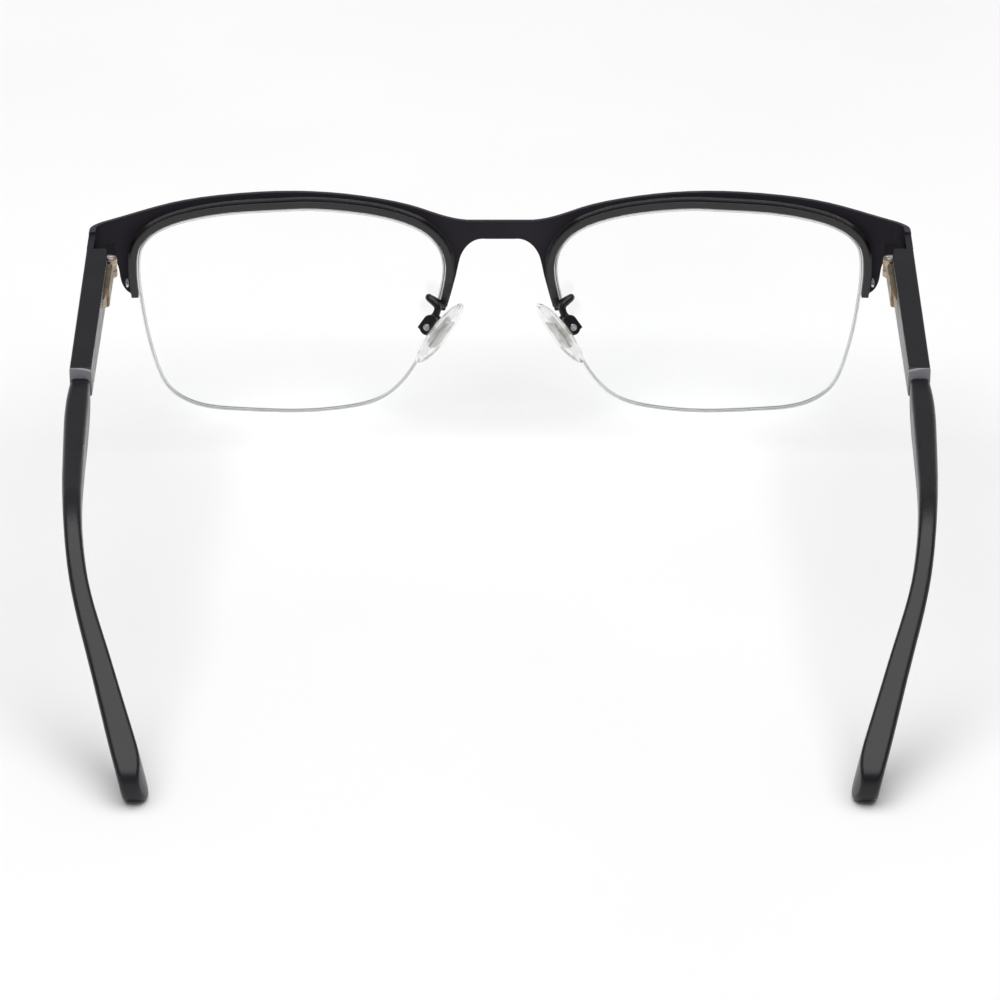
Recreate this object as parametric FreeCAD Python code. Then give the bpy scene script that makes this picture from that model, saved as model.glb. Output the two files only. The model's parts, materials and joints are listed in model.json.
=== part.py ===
import FreeCAD, Part
import math
import os

# Half rim eyeglasses, open, standing on the lens bottoms and the temple tips.
# Row frame: +Z up, the front faces -Y, the temples reach towards +Y, the wearer's right is -X.
# Millimetres and degrees. Everything is modelled for the wearer's left (+X) and mirrored.

# Pose of the parts in the row frame
FRONT_TILT = 6.0  # the lens plane leans forward at the top
TEMPLE_DROP = 2.0  # the straight part of each temple runs down towards the back
DEPTH_MIDDLE = 73.2  # from the lens plane's foot to the middle of the overall depth

# Lenses: 54 wide, 37.4 high, 19 apart, base 2 curve, wrapped 5 degrees
LENS_BASE_RADIUS = 262.0
LENS_THICKNESS = 2.0
LENS_BEVEL = 0.35  # safety bevel on the back edge
LENS_EDGE_DEPTH = 4.0  # between the mean depths of the front and back edges
LENS_APEX = (13.7, 0.94, 18.7)  # the front surface's foremost point
LENS_OUTLINE = [
    (36.5, 37.4), (46.0, 37.15), (54.3, 36.1), (59.6, 34.3), (62.3, 31.9), (63.15, 28.3),
    (62.9, 23.0), (61.9, 16.2), (60.35, 10.0), (58.2, 5.4), (54.2, 2.4), (46.0, 0.7),
    (35.5, 0.0), (26.5, 0.6), (20.5, 2.35), (16.8, 5.5), (13.8, 10.2), (11.5, 16.5),
    (9.95, 22.5), (9.5, 26.2), (10.2, 29.5), (12.4, 32.3), (17.0, 34.75), (26.0, 36.75),
]
GROOVE_HALF_WIDTH = 0.32
GROOVE_DEPTH = 0.5
CORD_HALF_WIDTH = 0.27

# Brow plate
PLATE_THICKNESS = 1.1
BRIDGE_HALF = 9.5  # the plate is flat in plan between the lenses
PLAN_RADIUS = 290.0
CORNER_RADIUS = 3.4  # outside radius where the end piece bends back
END_PIECE_X = 71.05
PLATE_TOP = [
    (10.4, 35.1), (14.6, 36.55), (20.8, 38.05), (29.2, 39.3), (38.0, 39.8), (47.9, 39.5),
    (56.2, 38.6), (64.1, 36.8), (68.4, 35.75), (72.0, 35.1),
]
BRIDGE_TOP = (5.8, 34.15)
BRIDGE_UNDERSIDE = [(2.5, 30.95), (5.0, 30.35), (6.65, 28.4), (7.5, 25.3), (8.4, 21.7), (9.3, 18.6)]
LOBE_EDGE = [(67.4, 29.1), (66.5, 27.9), (66.1, 25.6), (65.6, 24.0), (64.8, 22.95), (63.4, 22.5)]
END_PIECE_BOTTOM = 29.15
WALL_REACH = 7.0  # ahead of the pin the end piece keeps the plate's own height
TEMPORAL_END = 22.5  # height where the rim ends on the temporal side
NASAL_END = 18.6  # and on the nasal side

# Upper rim, its liner and the lens cord
RIM_WIDTH = 1.25
RIM_DEPTH = 2.4
RIM_LEDGE = 0.3
RIM_CLEARANCE = 0.06
CORD_RADIUS = 0.26
CORD_PLAY = 0.03
CORD_HOLES = [(64.94, 25.15), (64.9, 24.0)]  # drilled through the temporal lobe, beside the rim's end
STITCH_DEPTH = 0.9

# Hinge, in the temple's own frame: x across, s back along the temple, t up, origin on the pin
PIN = (67.1, 14.8, 32.5)
KNUCKLE_RADIUS = 1.3
KNUCKLE_LEVEL = 0.5  # half the height of the middle knuckle's slot
HINGE_HALF_HEIGHT = 1.6
SCREW_RADIUS = 0.5
SCREW_HEAD_RADIUS = 0.82
LEAF_REACH = 6.2
HOUSING_INNER_X = 66.35
HOUSING_OUTER_X = 68.65
HOUSING_START = 2.3
HOUSING_STEP = 12.8
HOUSING_END = 16.6
CAVITY_RADIUS = 0.78
ROD_X = 67.5
ROD_RADIUS = 0.36
LEAF_GAP = 1.7
SCREW_HEAD_HEIGHT = 0.3
TONGUE_HALF = 0.55
TONGUE_END = 4.35
BUSH_START = 4.4
BUSH_END = 5.2
NUT_START = 11.0
NUT_END = 11.7
NUT_RADIUS = 0.68
CAVITY_END = 12.2
SPRING_WIRE = 0.1
SPRING_COIL_RADIUS = 0.56
SPRING_TURNS = 9
RECESS_HALF = 2.15

# Temples, in the same frame
TEMPLE_FRONT = -1.25
JUNCTION = 45.8
ARM_TOP = 2.85
ARM_FRONT_HEIGHT = 6.0
ARM_REAR_HEIGHT = 5.0
ARM_OUTER_X = 71.05
ARM_INNER_X = 67.25
TIP_STEP = 1.8  # the ear piece's top lies this far below the arm's
TIP_BEND_START = 85.1
TIP_BEND_RADIUS = 30.0
TIP_BEND_HEIGHT = 5.5
TIP_CAP_S = 133.0
TIP_CAP_RADIUS = 3.4
TIP_OUTER = [
    (45.8, 70.75), (53.0, 71.0), (69.0, 70.4), (83.0, 69.6), (97.0, 68.4), (104.0, 67.3),
    (113.0, 65.0), (124.0, 61.9), (138.0, 57.7),
]  # plan of the ear piece's upper edges: back, across
TIP_INNER = [
    (45.8, 67.55), (69.0, 66.85), (88.0, 66.2), (97.0, 65.55), (104.0, 64.3), (113.0, 61.5),
    (122.0, 58.5), (129.0, 56.15), (133.5, 55.1), (136.0, 55.35), (138.0, 56.2),
]  # the last points round off the end's inner corner
TIP_LEAN = 0.2  # past the bend the sides lean in towards the head as they go down
TIP_LEAN_START = 88.0
TIP_LEAN_END = 110.0
TIP_FRONT_HEIGHT = 5.1
TIP_SLOPE = 28.2  # how steeply the ear piece runs down after its bend
TIP_ROUND = 0.85
ARM_BEVEL = 0.7
ARM_ROUND = 0.25
CORE_HEIGHT = 2.4
CORE_THICKNESS = 1.2
CORE_LINE = [(32.0, 69.75), (84.0, 67.8)]
CORE_LEVEL = -0.6

# Nose pads, in the front's frame: across, depth, height
PAD_BOX = (12.3, 8.0, 17.0)
PAD_LONG_AXIS = (-0.56, 0.04, 0.83)
PAD_SPLAY = 27.0
PAD_LENGTH = 13.2
PAD_WIDTH = 7.4
PAD_THICKNESS = 2.0
PAD_RISE = 0.4  # the pad's middle lies this far up the pad from the screw
PAD_REACH = 2.2  # and this far towards the nose
PAD_BOX_RADIUS = 1.4
PAD_BOX_WIDTH = 2.3
PAD_BOX_FACE = 0.75
PAD_BOX_NECK = 1.0  # the cheeks reach this much further up than their lower round
PAD_BOX_WEB = 0.75
PAD_BOX_DROP = 1.1
PAD_SLOT = 0.96
PAD_SCREW_RADIUS = 0.36
PAD_HEAD_RADIUS = 0.58
PAD_HEAD_HEIGHT = 0.25
PAD_LUG_RADIUS = 0.7
PAD_LUG_THICKNESS = 0.84
PAD_CORE_LENGTH = 5.4
PAD_CORE_WIDTH = 3.0
PAD_CORE_THICKNESS = 0.5
ARM_WIRE_RADIUS = 0.64
PAD_ARM_ROUTE = [
    (9.3, 2.2, 18.95), (10.3, 3.6, 19.7), (12.35, 4.4, 21.3), (12.45, 6.1, 21.8),
    (10.7, 6.9, 20.4), (11.2, 7.4, 18.9), (12.3, 7.7, 18.2),
]


def vec(x, y, z):
    return FreeCAD.Vector(x, y, z)


def box(low, high):
    """A box from its low corner to its high corner."""
    size = [b - a for a, b in zip(low, high)]
    return Part.makeBox(size[0], size[1], size[2], vec(*low))


def rod(start, direction, radius, length):
    return Part.makeCylinder(radius, length, vec(*start), vec(*direction))


def spline(points, closed=False):
    curve = Part.BSplineCurve()
    curve.interpolate(Points=points, PeriodicFlag=closed)
    return curve


def line(a, b):
    return Part.LineSegment(a, b).toShape()


def solid_of(shape):
    """The only solid of a result, or all of them when it has several."""
    solids = shape.Solids
    return solids[0] if len(solids) == 1 else Part.makeCompound(solids)


def rounded(shape, radius, chosen):
    """The shape with the chosen edges rounded."""
    edges = [edge for edge in shape.Edges if chosen(edge)]
    return shape.makeFillet(radius, edges)


def front_height(point):
    return vec(point[0], 0, point[1])


# Lens outline and the curves offset from it

LENS_CURVE = spline([front_height(p) for p in LENS_OUTLINE], closed=True)


def outline_wire(offset, count=60):
    """The lens outline moved outward by offset, as a closed wire in the XZ plane."""
    first, last = LENS_CURVE.FirstParameter, LENS_CURVE.LastParameter
    points = []
    for i in range(count):
        u = first + (last - first) * i / count
        tangent = LENS_CURVE.tangent(u)[0]
        outward = vec(-tangent.z, 0, tangent.x)
        points.append(LENS_CURVE.value(u) + outward * offset)
    return Part.Wire([spline(points, closed=True).toShape()])


def outline_prism(offset, near=-5.0, far=25.0):
    face = Part.Face(outline_wire(offset))
    face.translate(vec(0, near, 0))
    return face.extrude(vec(0, far - near, 0))


def outline_ring(inner, outer):
    return outline_prism(outer).cut(outline_prism(inner, -6.0, 26.0))


def lens_ball(depth):
    """The ball whose surface is the lens surface at this depth behind the front surface."""
    x, y, z = LENS_APEX
    return Part.makeSphere(LENS_BASE_RADIUS - depth, vec(x, y + LENS_BASE_RADIUS, z))


def lens_layer(near, far):
    """The curved layer between two depths of the lens."""
    return lens_ball(near).cut(lens_ball(far))


def upper_zone():
    """The region that holds the upper rim: above a line from one rim end to the other."""
    corners = [
        (-5, NASAL_END), (12.5, NASAL_END), (60.0, TEMPORAL_END), (75, TEMPORAL_END), (75, 60), (-5, 60),
    ]
    wire = Part.makePolygon([vec(x, -6, z) for x, z in corners + corners[:1]])
    return Part.Face(wire).extrude(vec(0, 34, 0))


# Plan curve of the front


def plan_depth(x, offset):
    """Depth of the plate's front surface, moved back by offset, at x."""
    if x <= BRIDGE_HALF:
        return offset
    radius = PLAN_RADIUS - offset
    return PLAN_RADIUS - math.sqrt(radius**2 - (x - BRIDGE_HALF) ** 2)


def plan_arc(offset, start, end):
    middle = (start + end) / 2
    points = [vec(x, plan_depth(x, offset), 0) for x in (start, middle, end)]
    return Part.Arc(*points).toShape()


def plan_band(near, far, reach):
    """A tall band that follows the front's plan curve between two offsets, from the middle to reach."""
    corner = [vec(0, near, 0), vec(BRIDGE_HALF, near, 0), vec(BRIDGE_HALF, far, 0), vec(0, far, 0)]
    ends = [vec(reach, plan_depth(reach, d), 0) for d in (near, far)]
    edges = [
        line(corner[0], corner[1]),
        plan_arc(near, BRIDGE_HALF, reach),
        line(ends[0], ends[1]),
        plan_arc(far, BRIDGE_HALF, reach),
        line(corner[2], corner[3]),
        line(corner[3], corner[0]),
    ]
    face = Part.Face(Part.Wire(Part.__sortEdges__(edges)))
    return face.extrude(vec(0, 0, 60))


def plate_edge(offset, back):
    """The plate's plan curve with its bent end piece, moved inward by offset, as a list of edges."""
    corner_x = END_PIECE_X - CORNER_RADIUS
    span = PLAN_RADIUS - CORNER_RADIUS
    corner_y = PLAN_RADIUS - math.sqrt(span**2 - (corner_x - BRIDGE_HALF) ** 2)
    lean = math.asin((corner_x - BRIDGE_HALF) / span)
    radius = CORNER_RADIUS - offset
    centre = vec(corner_x, corner_y, 0)
    meet = centre + vec(math.sin(lean), -math.cos(lean), 0) * radius
    half = (lean + math.pi / 2) / 2
    middle = centre + vec(math.sin(half), -math.cos(half), 0) * radius
    side = centre + vec(radius, 0, 0)
    return [
        line(vec(0, offset, 0), vec(BRIDGE_HALF, offset, 0)),
        plan_arc(offset, BRIDGE_HALF, meet.x),
        Part.Arc(meet, middle, side).toShape(),
        line(side, vec(side.x, back, 0)),
    ]


# Placing: each part is built in its own frame, then moved to the row frame


def lens_foot():
    """How far the lowest point of the tilted lenses lies above the lens plane's foot."""
    x, y, z = LENS_APEX
    low_x = LENS_OUTLINE[12][0]
    depth = y + ((low_x - x) ** 2 + z**2) / (2 * LENS_BASE_RADIUS)
    return depth * math.sin(math.radians(FRONT_TILT))


def place_front(shape):
    out = shape.copy()
    out.rotate(vec(0, 0, 0), vec(1, 0, 0), FRONT_TILT)
    out.translate(vec(0, -DEPTH_MIDDLE, -lens_foot()))
    return out


def place_temple(shape):
    out = shape.copy()
    out.rotate(vec(0, 0, 0), vec(1, 0, 0), -TEMPLE_DROP)
    out.translate(vec(0, PIN[1] - DEPTH_MIDDLE, PIN[2]))
    return out


def temple_to_front(shape):
    """A shape of the temple's frame, moved into the front's frame."""
    out = shape.copy()
    out.rotate(vec(0, 0, 0), vec(1, 0, 0), -TEMPLE_DROP)
    out.translate(vec(0, PIN[1], PIN[2] + lens_foot()))
    out.rotate(vec(0, 0, 0), vec(1, 0, 0), -FRONT_TILT)
    return out


def mirrored(shape):
    return shape.mirror(vec(0, 0, 0), vec(1, 0, 0))


def write(name, shape):
    shape = solid_of(shape)
    if not shape.isValid() or shape.Volume <= 0:
        print("check", name, shape.isValid(), round(shape.Volume, 3))
    shape.exportStep("parts/" + name + ".step")


def write_pair(name, shape):
    """Writes the wearer's left part and its mirror image."""
    write("left_" + name, shape)
    write("right_" + name, mirrored(shape))


# Front


def plate_outline():
    """Half of the plate seen from the front; the lens opening is cut later."""
    top = [vec(0, 0, BRIDGE_TOP[1]), front_height(BRIDGE_TOP)]
    crest = spline([front_height(BRIDGE_TOP)] + [front_height(p) for p in PLATE_TOP]).toShape()
    end = front_height(PLATE_TOP[-1])
    low_end = vec(end.x, 0, END_PIECE_BOTTOM)
    lobe = [front_height(p) for p in LOBE_EDGE]
    nose = [vec(0, 0, BRIDGE_UNDERSIDE[0][1])] + [front_height(p) for p in BRIDGE_UNDERSIDE]
    lobe_inner = vec(60.0, 0, TEMPORAL_END)
    nose_inner = vec(12.5, 0, NASAL_END)
    edges = [
        line(top[0], top[1]),
        crest,
        line(end, low_end),
        line(low_end, lobe[0]),
        spline(lobe).toShape(),
        line(lobe[-1], lobe_inner),
        line(lobe_inner, nose_inner),
        line(nose_inner, nose[-1]),
        spline(nose[1:]).toShape(),
        line(nose[1], nose[0]),
        line(nose[0], top[0]),
    ]
    return Part.Wire(Part.__sortEdges__(edges))


def half_plate():
    back = 30.0
    outer = plate_edge(0, back)
    inner = plate_edge(PLATE_THICKNESS, back)
    ends = [
        line(vec(0, 0, 0), vec(0, PLATE_THICKNESS, 0)),
        line(vec(END_PIECE_X, back, 0), vec(END_PIECE_X - PLATE_THICKNESS, back, 0)),
    ]
    plan = Part.Face(Part.Wire(Part.__sortEdges__(outer + inner + ends)))
    wall = plan.extrude(vec(0, 0, 60))
    face = Part.Face(plate_outline())
    face.translate(vec(0, -5, 0))
    plate = wall.common(face.extrude(vec(0, 50, 0)))
    plate = plate.cut(outline_prism(RIM_CLEARANCE))
    edge = CORNER_RADIUS
    above = box((END_PIECE_X - edge, -WALL_REACH, ARM_TOP), (80, 40, 30))
    below = box((END_PIECE_X - edge, -30, -30), (80, 40, ARM_TOP - ARM_FRONT_HEIGHT - 0.1))
    behind = box((40, TEMPLE_FRONT - 0.1, -30), (80, 40, 30))
    for tool in (above, below, behind):
        plate = plate.cut(temple_to_front(tool))
    for x, z in CORD_HOLES:
        plate = plate.cut(rod((x, 0, z), (0, 1, 0), CORD_RADIUS + CORD_PLAY, 20))
    return solid_of(plate)


def brow_plate():
    half = half_plate()
    return half.fuse(mirrored(half)).removeSplitter()


def rim():
    band = plan_band(PLATE_THICKNESS, PLATE_THICKNESS + RIM_DEPTH, 66.5)
    body = outline_ring(RIM_CLEARANCE, RIM_WIDTH).common(band)
    ledge_band = plan_band(PLATE_THICKNESS, PLATE_THICKNESS + RIM_LEDGE, 66.5)
    ledge = outline_ring(RIM_WIDTH - 0.2, RIM_WIDTH + RIM_LEDGE).common(ledge_band)
    outline = Part.Face(plate_outline())
    outline.translate(vec(0, -5, 0))
    body = body.fuse(ledge).common(upper_zone()).common(outline.extrude(vec(0, 50, 0)))
    channel = lens_layer(LENS_THICKNESS / 2 - GROOVE_HALF_WIDTH, LENS_THICKNESS / 2 + GROOVE_HALF_WIDTH)
    body = body.cut(channel.common(outline_ring(-0.2, GROOVE_DEPTH)))
    return solid_of(body)


def lens():
    body = lens_layer(0, LENS_THICKNESS).common(outline_prism(0))
    body = solid_of(body)
    back = [e for e in body.Edges if e.Length > 20 and e.CenterOfMass.y > LENS_EDGE_DEPTH]
    body = body.makeChamfer(LENS_BEVEL, back)
    middle = LENS_THICKNESS / 2
    groove = lens_layer(middle - GROOVE_HALF_WIDTH, middle + GROOVE_HALF_WIDTH)
    body = body.cut(groove.common(outline_ring(-GROOVE_DEPTH, 0.5)))
    return solid_of(body)


def rim_liner():
    middle = LENS_THICKNESS / 2
    half = GROOVE_HALF_WIDTH - 0.03
    play = 0.03
    bead = lens_layer(middle - half, middle + half)
    bead = bead.common(outline_ring(play - GROOVE_DEPTH, GROOVE_DEPTH - play))
    return solid_of(bead.common(upper_zone()))


def lens_cord():
    """The nylon in the lower groove, and the stitch that ties it through the lobe's two holes."""
    middle = LENS_THICKNESS / 2
    bead = lens_layer(middle - CORD_HALF_WIDTH, middle + CORD_HALF_WIDTH)
    bead = bead.common(outline_ring(0.03 - GROOVE_DEPTH, -0.02)).cut(upper_zone())
    return Part.makeCompound(bead.Solids + [stitch(*CORD_HOLES)])


def stitch(high, low):
    """Where the cord comes out of one hole in the plate's back and goes into the next."""
    back = plan_depth(high[0], PLATE_THICKNESS)
    proud = 1.6 * CORD_RADIUS
    points = [
        vec(high[0], back - STITCH_DEPTH, high[1]),
        vec(high[0], back + proud, high[1]),
        vec(low[0], back + proud, low[1]),
        vec(low[0], back - STITCH_DEPTH, low[1]),
    ]
    return tube(points, CORD_RADIUS)


# Bent wire: straight runs joined by tangent arcs


def tube(points, radius, share=0.45):
    """A round wire along the points, each corner turned by an arc that takes a share of its shorter run."""
    edges = []
    start = points[0]
    for before, point, after in zip(points, points[1:], points[2:]):
        into = (point - before).normalize()
        out_of = (after - point).normalize()
        turn = into.getAngle(out_of)
        reach = share * min((point - before).Length, (after - point).Length)
        enter = point - into * reach
        leave = point + out_of * reach
        bend_radius = reach / math.tan(turn / 2)
        inward = (out_of - into).normalize()
        centre = point + inward * (bend_radius / math.cos(turn / 2))
        edges.append(line(start, enter))
        edges.append(Part.Arc(enter, centre - inward * bend_radius, leave).toShape())
        start = leave
    edges.append(line(start, points[-1]))
    path = Part.Wire(edges)
    direction = points[1] - points[0]
    ring = Part.Wire([Part.makeCircle(radius, points[0], direction)])
    return path.makePipeShell([ring], True, False)


# Nose pads. Their frame: a up the pad, b across it towards the back, c towards the nose.


def pad_frame():
    a = vec(*PAD_LONG_AXIS).normalize()
    depth = vec(0, 1, 0)
    b0 = (depth - a * depth.dot(a)).normalize()
    c0 = a.cross(b0)
    splay = math.radians(PAD_SPLAY)
    b = b0 * math.cos(splay) - c0 * math.sin(splay)
    return a, b, a.cross(b)


def place_pad(shape):
    """From the pad's frame, origin on the pad screw, to the front's frame."""
    a, b, c = pad_frame()
    x, y, z = PAD_BOX
    out = shape.copy()
    matrix = FreeCAD.Matrix(a.x, b.x, c.x, x, a.y, b.y, c.y, y, a.z, b.z, c.z, z, 0, 0, 0, 1)
    out.transformShape(matrix)
    return out


def pad_box():
    """Two round cheeks joined by a web on the side away from the nose."""
    half = PAD_BOX_WIDTH / 2
    body = rod((0, -half, 0), (0, 1, 0), PAD_BOX_RADIUS, PAD_BOX_WIDTH)
    body = body.fuse(rod((PAD_BOX_NECK, -half, 0), (0, 1, 0), PAD_BOX_RADIUS, PAD_BOX_WIDTH))
    body = body.fuse(box((0, -half, -PAD_BOX_RADIUS), (PAD_BOX_NECK, half, PAD_BOX_FACE)))
    body = body.fuse(box((-PAD_BOX_DROP, -half, -PAD_BOX_RADIUS), (0, half, PAD_BOX_FACE)))
    body = body.cut(box((-5, -5, PAD_BOX_FACE), (5, 5, 5)))
    body = body.cut(box((-5, -PAD_SLOT / 2, -PAD_BOX_WEB), (5, PAD_SLOT / 2, 5)))
    body = body.cut(rod((0, -5, 0), (0, 1, 0), PAD_SCREW_RADIUS + 0.02, 10))
    return place_pad(body.removeSplitter())


def pad_screw():
    half = PAD_BOX_WIDTH / 2
    shank = rod((0, 0.1 - half, 0), (0, 1, 0), PAD_SCREW_RADIUS, PAD_BOX_WIDTH)
    head = rod((0, half, 0), (0, 1, 0), PAD_HEAD_RADIUS, PAD_HEAD_HEIGHT)
    slot = box((-2, half + PAD_HEAD_HEIGHT / 2, -0.1), (2, half + 1, 0.1))
    return place_pad(shank.fuse(head).cut(slot).removeSplitter())


def core_shape(bore):
    """The metal insert: a plate inside the silicone with a lug that reaches back to the screw."""
    low_a = PAD_RISE - PAD_CORE_LENGTH / 2
    plate = box(
        (low_a, -PAD_CORE_WIDTH / 2, PAD_REACH - PAD_CORE_THICKNESS / 2),
        (low_a + PAD_CORE_LENGTH, PAD_CORE_WIDTH / 2, PAD_REACH + PAD_CORE_THICKNESS / 2),
    )
    half = PAD_LUG_THICKNESS / 2
    lug = rod((0, -half, 0), (0, 1, 0), PAD_LUG_RADIUS, PAD_LUG_THICKNESS)
    lug = lug.fuse(box((-PAD_LUG_RADIUS, -half, 0), (PAD_LUG_RADIUS, half, PAD_REACH)))
    core = plate.fuse(lug)
    if bore:
        core = core.cut(rod((0, -2, 0), (0, 1, 0), PAD_SCREW_RADIUS + 0.05, 4))
    return core.removeSplitter()


def pad_core():
    return place_pad(core_shape(True))


def nose_pad():
    """An oval cushion with fully rounded edges round the metal insert."""
    ellipse = Part.Ellipse(vec(0, 0, 0), PAD_LENGTH / 2, PAD_WIDTH / 2)
    face = Part.Face(Part.Wire([ellipse.toShape()]))
    body = face.extrude(vec(0, 0, PAD_THICKNESS))
    body = body.makeFillet(0.42 * PAD_THICKNESS, body.Edges)
    body.translate(vec(PAD_RISE, 0, PAD_REACH - PAD_THICKNESS / 2))
    return place_pad(solid_of(body.cut(core_shape(False))))


def pad_arm(frame_parts):
    body = tube([vec(*p) for p in PAD_ARM_ROUTE], ARM_WIRE_RADIUS)
    for part in frame_parts:
        body = body.cut(part)
    return largest(body)


def largest(shape):
    return max(shape.Solids, key=lambda solid: solid.Volume)


# Hinge. Built in the temple's frame: x across, s back, t up, with the pin on x = PIN[0], s = 0.


def on_pin(radius, low, high):
    return rod((PIN[0], 0, low), (0, 0, 1), radius, high - low)


def along_rod(radius, start, end):
    return rod((ROD_X, start, 0), (0, 1, 0), radius, end - start)


def hinge_leaf():
    """Brazed to the inner face of the end piece, with an upper and a lower knuckle."""
    top = HINGE_HALF_HEIGHT
    wall = END_PIECE_X - PLATE_THICKNESS
    block = box((PIN[0] - 0.5, -LEAF_REACH, -top), (wall, -LEAF_GAP, top))
    web = box((PIN[0] - 1.05, -LEAF_GAP - 1.2, -top), (PIN[0] + 1.05, 0, top))
    body = block.fuse(web).fuse(on_pin(KNUCKLE_RADIUS, -top, top))
    slot = box((PIN[0] - 3, -KNUCKLE_RADIUS - 0.25, -KNUCKLE_LEVEL), (PIN[0] + 3, 3, KNUCKLE_LEVEL))
    return body.cut(slot).cut(on_pin(SCREW_RADIUS + 0.03, -5, 5)).removeSplitter()


def hinge_screw():
    top = HINGE_HALF_HEIGHT
    head = on_pin(SCREW_HEAD_RADIUS, top, top + SCREW_HEAD_HEIGHT)
    body = on_pin(SCREW_RADIUS, 0.05 - top, top).fuse(head)
    slot = box((PIN[0] - 2, -0.12, top + SCREW_HEAD_HEIGHT / 2), (PIN[0] + 2, 0.12, top + 1))
    return body.cut(slot).removeSplitter()


def hinge_slider():
    """The middle knuckle, its tongue and the rod that draws against the flex spring."""
    half = KNUCKLE_LEVEL - 0.06
    knuckle = on_pin(KNUCKLE_RADIUS - 0.05, -half, half)
    tongue = box((ROD_X - TONGUE_HALF, 0.9, -half), (ROD_X + TONGUE_HALF, TONGUE_END, half))
    body = knuckle.fuse(tongue).fuse(along_rod(ROD_RADIUS, TONGUE_END - 0.5, NUT_END))
    return body.cut(on_pin(SCREW_RADIUS + 0.06, -3, 3)).removeSplitter()


def slider_nut():
    return along_rod(NUT_RADIUS, NUT_START, NUT_END).cut(along_rod(ROD_RADIUS, 0, 20))


def flex_spring():
    """The coil spring round the rod, between the bush and the nut."""
    length = NUT_START - BUSH_END - 2 * SPRING_WIRE - 0.06
    helix = Part.makeHelix(length / SPRING_TURNS, length, SPRING_COIL_RADIUS)
    ring = Part.Wire([Part.makeCircle(SPRING_WIRE, vec(SPRING_COIL_RADIUS, 0, 0), vec(0, 1, 0))])
    coil = Part.Wire(helix).makePipeShell([ring], True, True)
    coil.rotate(vec(0, 0, 0), vec(1, 0, 0), -90)
    coil.translate(vec(ROD_X, BUSH_END + SPRING_WIRE + 0.03, 0))
    return coil


def housing_bush():
    return along_rod(CAVITY_RADIUS, BUSH_START, BUSH_END).cut(along_rod(ROD_RADIUS + 0.06, 0, 20))


def rectangle(low_x, high_x, s, half):
    corners = [(low_x, -half), (high_x, -half), (high_x, half), (low_x, half)]
    return Part.makePolygon([vec(x, s, t) for x, t in corners + corners[:1]])


def housing_shape():
    top = HINGE_HALF_HEIGHT
    main = box((HOUSING_INNER_X, HOUSING_START, -top), (HOUSING_OUTER_X, HOUSING_STEP, top))
    inner_edges = [
        edge for edge in main.Edges
        if edge.BoundBox.XMax < HOUSING_INNER_X + 0.01 and edge.BoundBox.YLength > 1
    ]
    main = main.makeFillet(0.45, inner_edges)
    tail = Part.makeLoft(
        [
            rectangle(HOUSING_INNER_X + 0.3, HOUSING_OUTER_X, HOUSING_STEP, top - 0.3),
            rectangle(HOUSING_OUTER_X - 1.15, HOUSING_OUTER_X, HOUSING_END, top - 0.9),
        ],
        True,
    )
    return main.fuse(tail).removeSplitter()


def hinge_housing():
    body = housing_shape().cut(along_rod(CAVITY_RADIUS, BUSH_START, CAVITY_END))
    mouth = box(
        (ROD_X - TONGUE_HALF - 0.06, HOUSING_START - 1, -KNUCKLE_LEVEL),
        (ROD_X + TONGUE_HALF + 0.06, BUSH_START, KNUCKLE_LEVEL),
    )
    return solid_of(body.cut(mouth))


# Temples, in the same frame


def prism_plan(points):
    """Plan polygon of (s, x) points, extruded up."""
    corners = [vec(x, s, -60) for s, x in points]
    return Part.Face(Part.makePolygon(corners + corners[:1])).extrude(vec(0, 0, 120))


def prism_side(points):
    """Side polygon of (s, t) points, extruded across."""
    corners = [vec(50, s, t) for s, t in points]
    return Part.Face(Part.makePolygon(corners + corners[:1])).extrude(vec(30, 0, 0))


def core_wire():
    """The flat wire that joins the arm to the ear piece."""
    half = CORE_THICKNESS / 2
    plan = [(s, x + side) for side, ends in ((-half, CORE_LINE), (half, CORE_LINE[::-1])) for s, x in ends]
    low, high = CORE_LEVEL - CORE_HEIGHT / 2, CORE_LEVEL + CORE_HEIGHT / 2
    return prism_plan(plan).common(box((50, 0, low), (80, 120, high)))


def temple_arm():
    """The straight front section. The end face's upper inner corner is bevelled."""
    plan = [
        (TEMPLE_FRONT, ARM_INNER_X + 0.35), (TEMPLE_FRONT + 4, ARM_INNER_X), (JUNCTION, ARM_INNER_X),
        (JUNCTION, ARM_OUTER_X - 0.2), (TEMPLE_FRONT, ARM_OUTER_X),
    ]
    side = [
        (TEMPLE_FRONT, ARM_TOP), (JUNCTION, ARM_TOP),
        (JUNCTION, ARM_TOP - ARM_REAR_HEIGHT), (TEMPLE_FRONT, ARM_TOP - ARM_FRONT_HEIGHT),
    ]
    body = prism_plan(plan).common(prism_side(side))
    bevel = [
        vec(ARM_OUTER_X - 1.2, JUNCTION, ARM_TOP), vec(ARM_INNER_X - 0.5, JUNCTION - ARM_BEVEL, ARM_TOP),
        vec(ARM_INNER_X - 0.5, JUNCTION, ARM_TOP - ARM_BEVEL), vec(ARM_INNER_X - 0.5, JUNCTION, ARM_TOP),
    ]
    body = body.cut(tetrahedron(bevel))
    body = rounded(body, ARM_ROUND, lambda e: e.BoundBox.YLength > 30)
    recess_x = PIN[0] + KNUCKLE_RADIUS + 0.35
    recess = box((PIN[0] - 4, -6, -RECESS_HALF), (recess_x, HOUSING_START, RECESS_HALF))
    return solid_of(body.cut(recess).cut(housing_shape()).cut(core_wire()))


def tetrahedron(points):
    faces = []
    for skip in range(4):
        corners = [p for i, p in enumerate(points) if i != skip]
        faces.append(Part.Face(Part.makePolygon(corners + corners[:1])))
    solid = Part.makeSolid(Part.makeShell(faces))
    if solid.Volume < 0:
        solid.reverse()
    return solid


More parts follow.
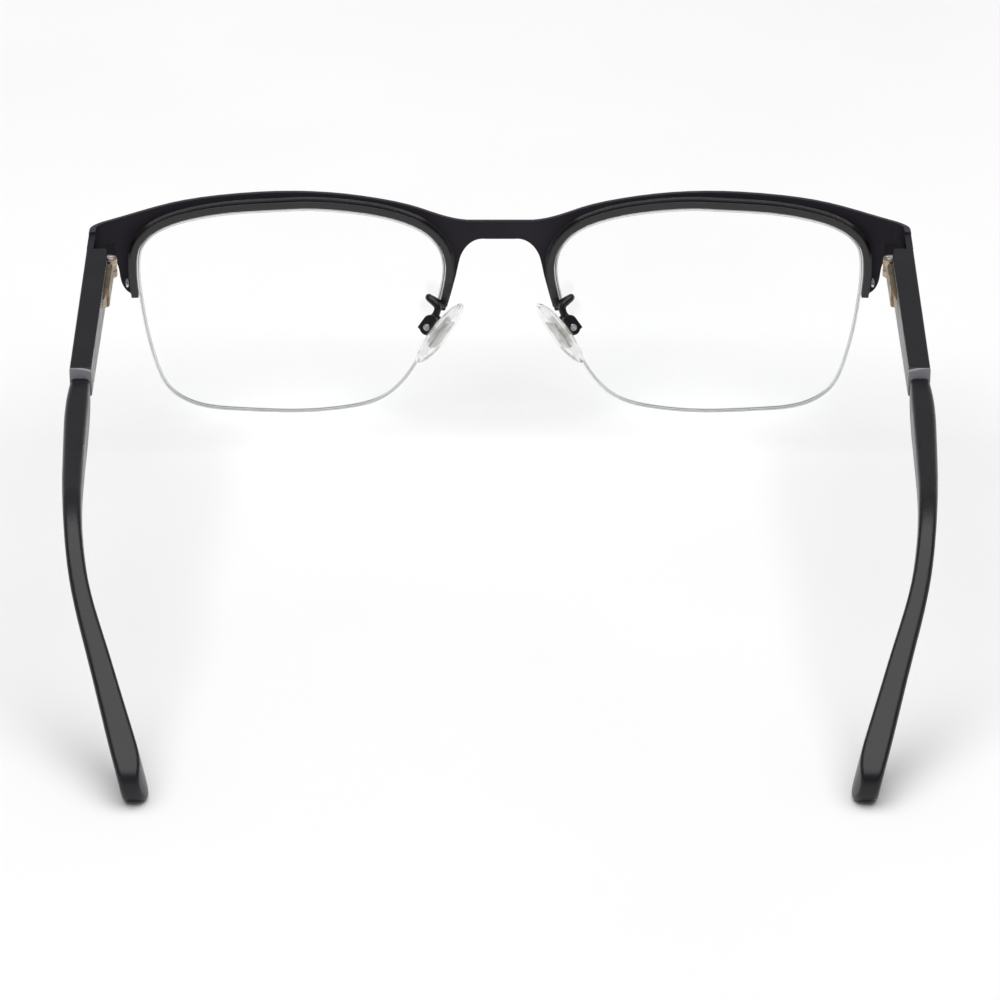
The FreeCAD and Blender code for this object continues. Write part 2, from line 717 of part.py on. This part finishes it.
def tip_tangent(centre, radius, cap, level):
    """The angle at which a line leaves the bend's arc so that it also touches the round end."""
    away = cap - centre
    lean = math.atan2(away.y, away.z)
    return lean - math.acos((radius + level) / away.Length)


def tip_side():
    """Side profile of the ear piece: straight, bent down, with a round end that stands on the floor."""
    drop = math.radians(TEMPLE_DROP)
    top = ARM_TOP - TIP_STEP
    cap_t = (TIP_CAP_RADIUS - PIN[2] + TIP_CAP_S * math.sin(drop)) / math.cos(drop)
    cap = vec(50, TIP_CAP_S, cap_t)
    centre = vec(50, TIP_BEND_START, top - TIP_BEND_RADIUS)
    lower = TIP_BEND_RADIUS - TIP_BEND_HEIGHT
    upper_angle = tip_tangent(centre, TIP_BEND_RADIUS, cap, -TIP_CAP_RADIUS)
    lower_angle = tip_tangent(centre, lower, cap, TIP_CAP_RADIUS)

    def around(radius, angle):
        return centre + vec(0, math.sin(angle), math.cos(angle)) * radius

    def on_cap(angle):
        return cap + vec(0, math.sin(angle), math.cos(angle)) * TIP_CAP_RADIUS

    start_top = vec(50, JUNCTION, top)
    start_low = vec(50, JUNCTION, top - TIP_FRONT_HEIGHT)
    low_turn = around(lower, 0)
    middle = (upper_angle + lower_angle + math.pi) / 2
    edges = [
        line(start_top, around(TIP_BEND_RADIUS, 0)),
        Part.Arc(*[around(TIP_BEND_RADIUS, upper_angle * k / 2) for k in range(3)]).toShape(),
        line(around(TIP_BEND_RADIUS, upper_angle), on_cap(upper_angle)),
        Part.Arc(on_cap(upper_angle), on_cap(middle), on_cap(lower_angle + math.pi)).toShape(),
        line(on_cap(lower_angle + math.pi), around(lower, lower_angle)),
        Part.Arc(*[around(lower, lower_angle * k / 2) for k in (2, 1, 0)]).toShape(),
        line(low_turn, start_low),
        line(start_low, start_top),
    ]
    return Part.Face(Part.Wire(Part.__sortEdges__(edges))).extrude(vec(30, 0, 0))


def tip_top(s):
    """Level of the ear piece's upper edge, for the lean of its sides."""
    top = ARM_TOP - TIP_STEP
    past = s - TIP_BEND_START
    if past <= 0:
        return top
    steepest = TIP_BEND_RADIUS * math.sin(math.radians(TIP_SLOPE))
    along = min(past, steepest)
    fall = TIP_BEND_RADIUS - math.sqrt(TIP_BEND_RADIUS**2 - along**2)
    return top - fall - (past - along) * math.tan(math.radians(TIP_SLOPE))


def leaning_curve(plan, level):
    """One side's plan curve at a level, moved inward by the lean."""
    points = []
    for s, x in plan:
        share = min(max((s - TIP_LEAN_START) / (TIP_LEAN_END - TIP_LEAN_START), 0.0), 1.0)
        points.append(vec(x + TIP_LEAN * share * (level - tip_top(s)), s, level))
    return spline(points).toShape()


def tip_plan():
    """The space between the two leaning sides, from above the ear piece to below it."""
    high, low = 6.0, -36.0
    inner_high, inner_low = leaning_curve(TIP_INNER, high), leaning_curve(TIP_INNER, low)
    outer_high, outer_low = leaning_curve(TIP_OUTER, high), leaning_curve(TIP_OUTER, low)
    sections = []
    for inner, outer in ((inner_low, outer_low), (inner_high, outer_high)):
        ends = [
            line(inner.Vertexes[0].Point, outer.Vertexes[0].Point),
            line(inner.Vertexes[-1].Point, outer.Vertexes[-1].Point),
        ]
        sections.append(Part.Wire(Part.__sortEdges__([inner, ends[1], outer, ends[0]])))
    faces = [
        Part.Face(sections[0]),
        Part.Face(sections[1]),
        Part.makeRuledSurface(inner_low, inner_high),
        Part.makeRuledSurface(outer_low, outer_high),
    ]
    for pick in (0, -1):
        corners = [curve.Vertexes[pick].Point for curve in (inner_low, outer_low, outer_high, inner_high)]
        faces.append(Part.Face(Part.makePolygon(corners + corners[:1])))
    shell = Part.makeShell(faces)
    shell.sewShape()
    solid = Part.makeSolid(shell)
    if solid.Volume < 0:
        solid.reverse()
    return solid


def temple_tip():
    body = solid_of(tip_side().common(tip_plan()))
    body = rounded(body, TIP_ROUND, lambda e: e.BoundBox.YMin > JUNCTION - 0.1 and e.BoundBox.YLength > 0.5)
    return solid_of(body.cut(core_wire()))


def main():
    os.makedirs("parts", exist_ok=True)
    plate = brow_plate()
    rim_part = rim()
    box_part = pad_box()
    write("brow_plate", place_front(plate))
    front_parts = {
        "rim": rim_part,
        "rim_liner": rim_liner(),
        "lens": lens(),
        "lens_cord": lens_cord(),
        "pad_arm": pad_arm([plate, rim_part, box_part]),
        "pad_box": box_part,
        "pad_screw": pad_screw(),
        "pad_core": pad_core(),
        "nose_pad": nose_pad(),
    }
    for name, shape in front_parts.items():
        write_pair(name, place_front(shape))
    temple_parts = {
        "hinge_leaf": hinge_leaf(),
        "hinge_screw": hinge_screw(),
        "hinge_slider": hinge_slider(),
        "slider_nut": slider_nut(),
        "flex_spring": flex_spring(),
        "housing_bush": housing_bush(),
        "hinge_housing": hinge_housing(),
        "temple_arm": temple_arm(),
        "temple_tip": temple_tip(),
        "core_wire": core_wire(),
    }
    for name, shape in temple_parts.items():
        write_pair(name, place_temple(shape))


main()
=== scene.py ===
import json
import math

import bmesh
import bpy
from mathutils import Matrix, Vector

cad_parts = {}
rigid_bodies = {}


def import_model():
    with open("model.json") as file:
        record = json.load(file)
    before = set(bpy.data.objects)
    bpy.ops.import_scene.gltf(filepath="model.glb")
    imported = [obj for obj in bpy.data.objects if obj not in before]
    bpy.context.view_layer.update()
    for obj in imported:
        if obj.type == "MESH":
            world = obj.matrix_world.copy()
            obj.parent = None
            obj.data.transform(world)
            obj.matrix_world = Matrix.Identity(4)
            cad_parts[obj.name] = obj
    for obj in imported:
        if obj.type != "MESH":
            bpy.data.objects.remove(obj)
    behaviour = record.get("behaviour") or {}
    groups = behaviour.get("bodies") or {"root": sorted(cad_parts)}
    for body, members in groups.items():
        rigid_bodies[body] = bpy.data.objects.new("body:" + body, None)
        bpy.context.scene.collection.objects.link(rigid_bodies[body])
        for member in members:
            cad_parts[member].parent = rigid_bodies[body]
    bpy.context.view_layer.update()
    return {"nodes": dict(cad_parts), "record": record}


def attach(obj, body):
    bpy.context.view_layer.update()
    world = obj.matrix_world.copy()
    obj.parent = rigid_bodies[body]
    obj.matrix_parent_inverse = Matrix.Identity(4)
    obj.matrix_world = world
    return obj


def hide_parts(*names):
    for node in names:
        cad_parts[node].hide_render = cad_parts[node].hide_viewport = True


for leftover in list(bpy.data.objects):
    bpy.data.objects.remove(leftover)

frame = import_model()
NODES = frame["nodes"]
SIDES = ("left", "right")
MM = 0.001


# Materials: node trees built by small helpers


class Tree:
    """A material with a Principled shader, and short calls for the nodes that drive it."""

    def __init__(self, name, **values):
        self.material = bpy.data.materials.new(name)
        self.material.use_nodes = True
        self.nodes = self.material.node_tree.nodes
        self.links = self.material.node_tree.links
        self.shader = self.nodes["Principled BSDF"]
        self.output = self.nodes["Material Output"]
        self.place = self.nodes.new("ShaderNodeTexCoord").outputs["Object"]
        for socket, value in values.items():
            self.shader.inputs[socket.replace("_", " ")].default_value = value

    def link(self, source, target):
        self.links.new(source, target)

    def drive(self, socket, source):
        self.links.new(source, self.shader.inputs[socket])

    def stretched(self, scale):
        """Positions scaled along each axis, so that grain runs along a part."""
        node = self.nodes.new("ShaderNodeMapping")
        node.inputs["Scale"].default_value = scale
        self.link(self.place, node.inputs["Vector"])
        return node.outputs["Vector"]

    def across_and_along(self):
        """The place's X and Y, in metres in the frame at rest."""
        node = self.nodes.new("ShaderNodeSeparateXYZ")
        self.link(self.place, node.inputs["Vector"])
        return node.outputs["X"], node.outputs["Y"]

    def noise(self, per_mm, detail=3.0, rough=0.55, vector=None):
        node = self.nodes.new("ShaderNodeTexNoise")
        node.inputs["Scale"].default_value = per_mm / MM
        node.inputs["Detail"].default_value = detail
        node.inputs["Roughness"].default_value = rough
        self.link(self.place if vector is None else vector, node.inputs["Vector"])
        return node.outputs["Fac"]

    def ramp(self, source, low, high, start=0.3, end=0.7):
        """source, mapped from start..end to low..high. low and high are numbers or colours."""
        node = self.nodes.new("ShaderNodeMapRange" if isinstance(low, float) else "ShaderNodeValToRGB")
        if isinstance(low, float):
            values = (("From Min", start), ("From Max", end), ("To Min", low), ("To Max", high))
            for socket, value in values:
                node.inputs[socket].default_value = value
            self.link(source, node.inputs["Value"])
            return node.outputs["Result"]
        first, last = node.color_ramp.elements
        first.position, last.position = start, end
        first.color, last.color = (*low, 1.0), (*high, 1.0)
        self.link(source, node.inputs["Fac"])
        return node.outputs["Color"]

    def mix(self, factor, a, b):
        node = self.nodes.new("ShaderNodeMix")
        node.data_type = "RGBA"
        self.link(factor, node.inputs[0])
        for socket, value in ((node.inputs[6], a), (node.inputs[7], b)):
            if isinstance(value, tuple):
                socket.default_value = (*value, 1.0)
            else:
                self.link(value, socket)
        return node.outputs[2]

    def math(self, operation, a, b):
        node = self.nodes.new("ShaderNodeMath")
        node.operation = operation
        for socket, value in zip(node.inputs, (a, b)):
            if isinstance(value, (int, float)):
                socket.default_value = value
            else:
                self.link(value, socket)
        return node.outputs[0]

    def edge_mask(self, radius_mm, low=0.02, high=0.25):
        """1 on the sharp outer edges, 0 on flats: where a coating wears, and where highlight and shade
        are painted along edges.
        """
        bevel = self.nodes.new("ShaderNodeBevel")
        bevel.samples = 6
        bevel.inputs["Radius"].default_value = radius_mm * MM
        true_normal = self.nodes.new("ShaderNodeNewGeometry").outputs["Normal"]
        dot = self.nodes.new("ShaderNodeVectorMath")
        dot.operation = "DOT_PRODUCT"
        self.link(bevel.outputs["Normal"], dot.inputs[0])
        self.link(true_normal, dot.inputs[1])
        return self.ramp(self.math("SUBTRACT", 1.0, dot.outputs["Value"]), 0.0, 1.0, low, high)

    def bump(self, height, distance_mm, strength=1.0, bevel_mm=0.0):
        node = self.nodes.new("ShaderNodeBump")
        node.inputs["Strength"].default_value = strength
        node.inputs["Distance"].default_value = distance_mm * MM
        self.link(height, node.inputs["Height"])
        if bevel_mm:
            bevel = self.nodes.new("ShaderNodeBevel")
            bevel.samples = 6
            bevel.inputs["Radius"].default_value = bevel_mm * MM
            self.link(bevel.outputs["Normal"], node.inputs["Normal"])
        self.drive("Normal", node.outputs["Normal"])


def cloudy(t, base):
    """A coating's colour, and the slow cloud that varies it and its gloss."""
    cloud = t.noise(CLOUD_PER_MM, 4.0)
    return cloud, t.ramp(cloud, tuple(c * 0.82 for c in base), tuple(c * 1.16 for c in base))


def worn_and_highlit_edges(t, wear):
    """How far the coating's edges turn paler, in patches, up to wear: partly wear, partly a painted
    highlight along the edges.
    """
    return t.math("MULTIPLY", t.edge_mask(COATING_EDGE), t.ramp(t.noise(1.1), wear * 0.5, wear))


def coated(name, base, edge_wear_and_highlight, rough, grain, wear, bevel_mm, shine=0.09, coat=0.0):
    """A dark baked coating: fine orange peel, faint cloudiness, and paler edges that are partly wear and
    partly painted highlight.
    """
    t = Tree(name, Specular_IOR_Level=shine, Coat_Weight=coat, Coat_Roughness=0.1, Coat_IOR=1.3)
    cloud, tone = cloudy(t, base)
    flecks = t.noise(FLECKS_PER_MM, 2.0)
    t.drive("Base Color", t.mix(worn_and_highlit_edges(t, wear), tone, edge_wear_and_highlight))
    spread = t.math("ADD", t.ramp(cloud, rough - 0.05, rough + 0.06), t.ramp(flecks, -0.03, 0.03))
    t.drive("Roughness", spread)
    t.bump(t.math("ADD", t.noise(grain), flecks), PEEL_DEPTH, 0.5, bevel_mm)
    return t.material


def metal(name, base, dark, rough, along, bevel_mm=0.08, wear=0.5):
    """Bare metal with fine drawn lines along one axis, dull patches and polished edges."""
    t = Tree(name, Metallic=1.0)
    scale = [1.0, 1.0, 1.0]
    scale["XYZ".index(along)] = LINE_STRETCH
    lines = t.noise(14.0, 3.0, vector=t.stretched(scale))
    patches = t.noise(PATCHES_PER_MM, 4.0)
    tone = t.ramp(patches, dark, base, 0.25, 0.62)
    bright = tuple(min(1.0, c * 1.25) for c in base)
    t.drive("Base Color", t.mix(t.math("MULTIPLY", t.edge_mask(0.12), wear), tone, bright))
    t.drive("Roughness", t.math("ADD", t.ramp(patches, rough + 0.1, rough), t.ramp(lines, -0.05, 0.05)))
    t.bump(lines, 0.004, 0.35, bevel_mm)
    return t.material


def painted_leaf(name):
    """The hinge leaf: coated with the front, but bare metal on the knuckles round the pin."""
    t = Tree(name, Specular_IOR_Level=0.05)
    x, y = t.across_and_along()
    across = t.math("SUBTRACT", t.math("ABSOLUTE", x, 0.0), PIN[0])
    along = t.math("SUBTRACT", y, PIN[1])
    squares = t.math("ADD", t.math("MULTIPLY", across, across), t.math("MULTIPLY", along, along))
    bare = t.ramp(t.math("SQRT", squares, 0.0), 1.0, 0.0, *KNUCKLE_EDGE)
    patches = t.noise(PATCHES_PER_MM, 4.0)
    metal_tone = t.ramp(patches, (0.3, 0.23, 0.16), (0.6, 0.5, 0.38))
    # The coated part takes the darker gloss black, not the plate's colour, so that its lit top face reads
    # dark: painted shade.
    t.drive("Base Color", t.mix(bare, GLOSS_BASE, metal_tone))
    t.drive("Metallic", bare)
    t.drive("Roughness", t.ramp(patches, 0.3, 0.42))
    t.bump(t.noise(6.0), 0.005, 0.4, 0.1)
    return t.material


def stepped_arm(name):
    """The arm's coating, with painted light: the end face that stands above the ear piece is painted pale
    for the light it catches.
    """
    t = Tree(name, Specular_IOR_Level=0.3)
    # The end face is painted pale grey as painted light; the edges are painted paler for wear and
    # highlight.
    end = t.ramp(t.across_and_along()[1], 0.0, 1.0, *STEP_START)
    cloud, tone = cloudy(t, ARM_BASE)
    t.drive("Base Color", t.mix(end, t.mix(worn_and_highlit_edges(t, 0.6), tone, BROWN_EDGE_WEAR_AND_HIGHLIGHT), STEP_FACE_PAINTED_LIGHT))
    t.drive("Roughness", t.ramp(cloud, 0.24, 0.34))
    t.bump(t.math("ADD", t.noise(2.2), t.noise(FLECKS_PER_MM, 2.0)), PEEL_DEPTH, 0.5, 0.14)
    return t.material


def lens_material(name):
    """Clear resin: polished faces, and painted shade: fine dark grey lines where the ground edges meet
    them.
    """
    t = Tree(name, IOR=1.5)
    haze = t.noise(0.03, 3.0)
    # lines is 1 along the ground edges, where grey is painted as shade.
    lines = t.edge_mask(0.14, 0.008, 0.05)
    t.drive("Base Color", t.mix(lines, t.ramp(haze, (0.985, 0.99, 0.988), (1.0, 1.0, 1.0)), EDGE_SHADE_GREY))
    t.drive("Transmission Weight", t.ramp(lines, 1.0, 0.1, 0.0, 1.0))
    t.drive("Roughness", t.ramp(lines, 0.0, 0.4, 0.0, 1.0))
    t.bump(haze, 0.0004, 0.3)
    let_lamps_through(t, (0.95, 0.955, 0.955))
    return t.material


def let_lamps_through(t, shadow):
    """Shadow rays pass straight through, tinted, so that a clear solid throws no dark shadow."""
    path = t.nodes.new("ShaderNodeLightPath").outputs["Is Shadow Ray"]
    through = t.nodes.new("ShaderNodeBsdfTransparent")
    through.inputs["Color"].default_value = (*shadow, 1.0)
    mixed = t.nodes.new("ShaderNodeMixShader")
    t.link(path, mixed.inputs["Fac"])
    t.link(t.shader.outputs["BSDF"], mixed.inputs[1])
    t.link(through.outputs["BSDF"], mixed.inputs[2])
    t.link(mixed.outputs["Shader"], t.output.inputs["Surface"])


def clear(name, tint, rough, ior, grain, bump_mm, passes=1.0, shadow=(0.93, 0.94, 0.94)):
    """A clear solid that lets lamplight through, with a faint surface haze."""
    t = Tree(name, Transmission_Weight=passes, IOR=ior)
    haze = t.noise(grain, 3.0)
    t.drive("Base Color", t.ramp(haze, tuple(c * 0.94 for c in tint), tint))
    t.drive("Roughness", t.ramp(haze, rough, rough * 1.8))
    t.bump(haze, bump_mm, 0.4)
    let_lamps_through(t, shadow)
    return t.material


# Colours are linear; lengths are in metres, except where a name or argument says mm

CLOUD_PER_MM = 0.12
FLECKS_PER_MM = 9.0
PATCHES_PER_MM = 0.7
PEEL_DEPTH = 0.006
COATING_EDGE = 0.16
LINE_STRETCH = 0.06  # positions are scaled by this along the drawn lines, which draws them out
# The plate's black, paler than the arm's: painted light for its back face, which is turned away from the
# overhead lamp.
PLATE_BASE_PAINTED_LIGHT = (0.022, 0.019, 0.026)
# Paler colour of the plate's and tips' edges: partly wear, partly painted highlight.
BROWN_EDGE_WEAR_AND_HIGHLIGHT = (0.095, 0.07, 0.052)
GLOSS_BASE = (0.006, 0.0055, 0.007)
# Paler colour of the gloss black edges: partly wear, partly painted highlight.
GLOSS_EDGE_WEAR_AND_HIGHLIGHT = (0.04, 0.035, 0.036)
ARM_BASE = (0.0075, 0.0065, 0.009)
# The pale grey painted on the arm's end face: painted light.
STEP_FACE_PAINTED_LIGHT = (0.25, 0.25, 0.275)
# The grey painted along the lens's edges: painted shade.
EDGE_SHADE_GREY = (0.05, 0.047, 0.044)
PIN = (0.0671, -0.0584)  # the hinge screw's place across and along
KNUCKLE_EDGE = (1.36 * MM, 1.44 * MM)  # from the screw's axis to where the bare metal ends
ARM_END = -0.01263
STEP_START = (ARM_END - 0.2 * MM, ARM_END - 0.12 * MM)

MATERIALS = {
    "brow_plate": coated(
        "satin_black_plate", PLATE_BASE_PAINTED_LIGHT, BROWN_EDGE_WEAR_AND_HIGHLIGHT, rough=0.42, grain=2.6, wear=0.75, bevel_mm=0.12
    ),
    "rim": coated(
        "gloss_black_rim", GLOSS_BASE, GLOSS_EDGE_WEAR_AND_HIGHLIGHT,
        rough=0.16, grain=1.4, wear=0.4, bevel_mm=0.45, shine=0.45, coat=0.5,
    ),
    "pad_arm": coated(
        "gloss_black_wire", GLOSS_BASE, GLOSS_EDGE_WEAR_AND_HIGHLIGHT,
        rough=0.24, grain=1.4, wear=0.4, bevel_mm=0.1, shine=0.3, coat=0.2,
    ),
    "temple_arm": stepped_arm("satin_black_arm_step"),
    "temple_tip": coated(
        "satin_black_tip", ARM_BASE, BROWN_EDGE_WEAR_AND_HIGHLIGHT, rough=0.3, grain=1.8, wear=0.5, bevel_mm=0.14, shine=0.34
    ),
    "hinge": metal("champagne_metal", (0.42, 0.335, 0.235), (0.2, 0.15, 0.1), 0.3, "Y"),
    "screw": metal("bright_screw", (0.86, 0.86, 0.87), (0.6, 0.59, 0.58), 0.16, "X"),
    "inner_metal": metal("bare_steel", (0.56, 0.56, 0.57), (0.36, 0.35, 0.34), 0.3, "Y"),
    "pad_core": metal(
        "stamped_insert", (0.78, 0.77, 0.75), (0.42, 0.4, 0.38), 0.2, "Z", bevel_mm=0.12, wear=0.8
    ),
    "lens": lens_material("clear_lens"),
    "rim_liner": clear(
        "clear_liner", (0.9, 0.92, 0.92), rough=0.1, ior=1.49, grain=0.5, bump_mm=0.004
    ),
    "lens_cord": clear(
        "nylon_line", (0.9, 0.92, 0.93), rough=0.12, ior=1.52, grain=0.8, bump_mm=0.006, passes=0.85
    ),
    "nose_pad": clear(
        "clear_silicone", (0.97, 0.975, 0.97), rough=0.02, ior=1.2, grain=0.35, bump_mm=0.05, passes=0.93
    ),
}
LEAF_PAINT = painted_leaf("painted_hinge_leaf")

slot_of = {part["node"]: part["material_slot"] for part in frame["record"]["subparts"]}
for name, piece in NODES.items():
    piece.data.materials.clear()
    piece.data.materials.append(MATERIALS[slot_of[name]])
for side in SIDES:
    NODES[side + "_hinge_leaf"].data.materials[0] = LEAF_PAINT


# Nose pads: moulded silicone ovals round the metal inserts. Lengths are in mm, in the frame of the
# untilted front: across, depth, height. Points on a pad are a up it, b across it and c towards the nose.

FRONT_TILT = math.radians(6.0)
FRONT_PLACE = Vector((0.0, -73.2, -0.263))
PAD_BOX = Vector((12.3, 8.0, 17.0))
PAD_LONG_AXIS = Vector((-0.56, 0.04, 0.83)).normalized()
PAD_SPLAY = math.radians(27.0)
PAD_MIDDLE = (0.4, 0.0, 2.2)  # from the pad screw
PAD_HALF = (6.6, 3.7, 1.0)
PAD_FULLNESS = 2.35  # 2 is an ellipse, and more is squarer
PAD_TAPER = 0.05
LIP_PLACE = 0.78  # the raised lip on the back, as a share of the way to the edge
LIP_WIDTH = 0.07
LIP_HEIGHT = 0.13
AROUND = 72
RINGS = 26


def pad_axes():
    """Up the pad, across it towards the back, and towards the nose."""
    a = PAD_LONG_AXIS
    depth = Vector((0.0, 1.0, 0.0))
    b = (depth - a * depth.dot(a)).normalized()
    c = a.cross(b)
    b = b * math.cos(PAD_SPLAY) - c * math.sin(PAD_SPLAY)
    return a, b, a.cross(b)


def pad_point(a_mm, b_mm, c_mm, side):
    """A point of the left (side 1) or right (side -1) pad, in metres in the frame."""
    point = PAD_BOX.copy()
    for axis, along, middle in zip(pad_axes(), (a_mm, b_mm, c_mm), PAD_MIDDLE):
        point += axis * (along + middle)
    cos, sin = math.cos(FRONT_TILT), math.sin(FRONT_TILT)
    turned = Vector((point.x, point.y * cos - point.z * sin, point.y * sin + point.z * cos)) + FRONT_PLACE
    return (turned.x * side * MM, turned.y * MM, turned.z * MM)


def pad_height(reach, nose_side):
    """Half thickness at a share of the way from the pad's middle to its edge."""
    edge = (1.0 - min(reach, 1.0) ** 3.4) ** 0.5
    if nose_side:
        return PAD_HALF[2] * edge * (1.0 - 0.1 * reach**2)
    lip = LIP_HEIGHT * math.exp(-(((reach - LIP_PLACE) / LIP_WIDTH) ** 2))
    return -PAD_HALF[2] * edge * (0.86 + lip)


def pad_faces(first):
    """The faces of one side of the pad, from its middle point at index first outward."""
    faces = []
    for step in range(AROUND):
        after = (step + 1) % AROUND
        faces.append((first, first + 1 + step, first + 1 + after))
        for ring in range(RINGS - 1):
            low = first + 1 + ring * AROUND
            high = low + AROUND
            faces.append((low + step, high + step, high + after, low + after))
    return faces


def silicone_pad(side_name, side):
    points, faces = [], []
    for nose_side in (True, False):
        first = len(points)
        points.append(pad_point(0.0, 0.0, pad_height(0.0, nose_side), side))
        for ring in range(1, RINGS + 1):
            reach = math.sin(0.5 * math.pi * ring / RINGS)
            for step in range(AROUND):
                turn = 2.0 * math.pi * step / AROUND
                cos, sin = math.cos(turn), math.sin(turn)
                full = (abs(cos) ** PAD_FULLNESS + abs(sin) ** PAD_FULLNESS) ** (-1.0 / PAD_FULLNESS)
                a_mm = PAD_HALF[0] * reach * full * cos
                b_mm = PAD_HALF[1] * reach * full * sin * (1.0 - PAD_TAPER * cos * reach)
                points.append(pad_point(a_mm, b_mm, pad_height(reach, nose_side), side))
        faces += pad_faces(first)
    mesh = bpy.data.meshes.new("silicone_pad")
    mesh.from_pydata(points, [], faces)
    shape = bmesh.new()
    shape.from_mesh(mesh)
    bmesh.ops.remove_doubles(shape, verts=shape.verts, dist=1e-6)
    bmesh.ops.recalc_face_normals(shape, faces=shape.faces)
    shape.to_mesh(mesh)
    shape.free()
    mesh.polygons.foreach_set("use_smooth", [True] * len(mesh.polygons))
    mesh.materials.append(MATERIALS["nose_pad"])
    pad = bpy.data.objects.new(side_name + "_silicone_pad", mesh)
    bpy.context.scene.collection.objects.link(pad)
    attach(pad, side_name + "_pad")
    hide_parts(side_name + "_nose_pad")


silicone_pad("left", 1.0)
silicone_pad("right", -1.0)


# Stage: floor, soft light, camera

FLOOR_HALF = 6.0
CAMERA_PLACE = (0.0, 0.8376, 0.4119)
CAMERA_DIP = 25.31
CAMERA_LENS = 203.58


def floor_material():
    t = Tree("floor_white", Specular_IOR_Level=0.2)
    t.drive("Base Color", t.ramp(t.noise(0.004), (0.86, 0.86, 0.86), (0.9, 0.9, 0.9)))
    t.drive("Roughness", t.ramp(t.noise(0.02), 0.55, 0.7))
    t.bump(t.noise(0.5), 0.01, 0.1)
    return t.material


def floor():
    mesh = bpy.data.meshes.new("floor")
    corners = [(x * FLOOR_HALF, y * FLOOR_HALF, 0.0) for x, y in ((-1, -1), (1, -1), (1, 1), (-1, 1))]
    mesh.from_pydata(corners, [], [(0, 1, 2, 3)])
    item = bpy.data.objects.new("floor", mesh)
    item.data.materials.append(floor_material())
    bpy.context.scene.collection.objects.link(item)


def area_light(name, place, target, size, power):
    lamp = bpy.data.lights.new(name, "AREA")
    lamp.shape = "RECTANGLE"
    lamp.size, lamp.size_y = size
    lamp.energy = power
    item = bpy.data.objects.new(name, lamp)
    item.location = place
    item.rotation_euler = (Vector(target) - Vector(place)).to_track_quat("-Z", "Y").to_euler()
    bpy.context.scene.collection.objects.link(item)


def world():
    """A pale sweep at the horizon that darkens to a dim ceiling, so that dark gloss stays dark."""
    item = bpy.data.worlds.new("studio")
    bpy.context.scene.world = item
    item.use_nodes = True
    tree = item.node_tree
    split = tree.nodes.new("ShaderNodeSeparateXYZ")
    tree.links.new(tree.nodes.new("ShaderNodeTexCoord").outputs["Generated"], split.inputs["Vector"])
    level = tree.nodes.new("ShaderNodeMapRange")
    for socket, value in (("From Min", 0.02), ("From Max", 0.2), ("To Min", 1.0), ("To Max", 0.26)):
        level.inputs[socket].default_value = value
    tree.links.new(split.outputs["Z"], level.inputs["Value"])
    back = tree.nodes["Background"]
    back.inputs["Color"].default_value = (1.0, 1.0, 1.0, 1.0)
    tree.links.new(level.outputs["Result"], back.inputs["Strength"])


def camera():
    data = bpy.data.cameras.new("camera")
    data.sensor_width = 36.0
    data.lens = CAMERA_LENS
    data.clip_start, data.clip_end = 0.05, 20.0
    item = bpy.data.objects.new("camera", data)
    item.location = CAMERA_PLACE
    item.rotation_euler = (math.radians(90.0 - CAMERA_DIP), 0.0, math.radians(180.0))
    bpy.context.scene.collection.objects.link(item)
    bpy.context.scene.camera = item


floor()
world()
area_light("overhead", (0.0, 0.1, 1.6), (0.0, 0.0, 0.0), (2.4, 2.0), 36.5)
camera()
bpy.context.scene.view_settings.view_transform = "Standard"
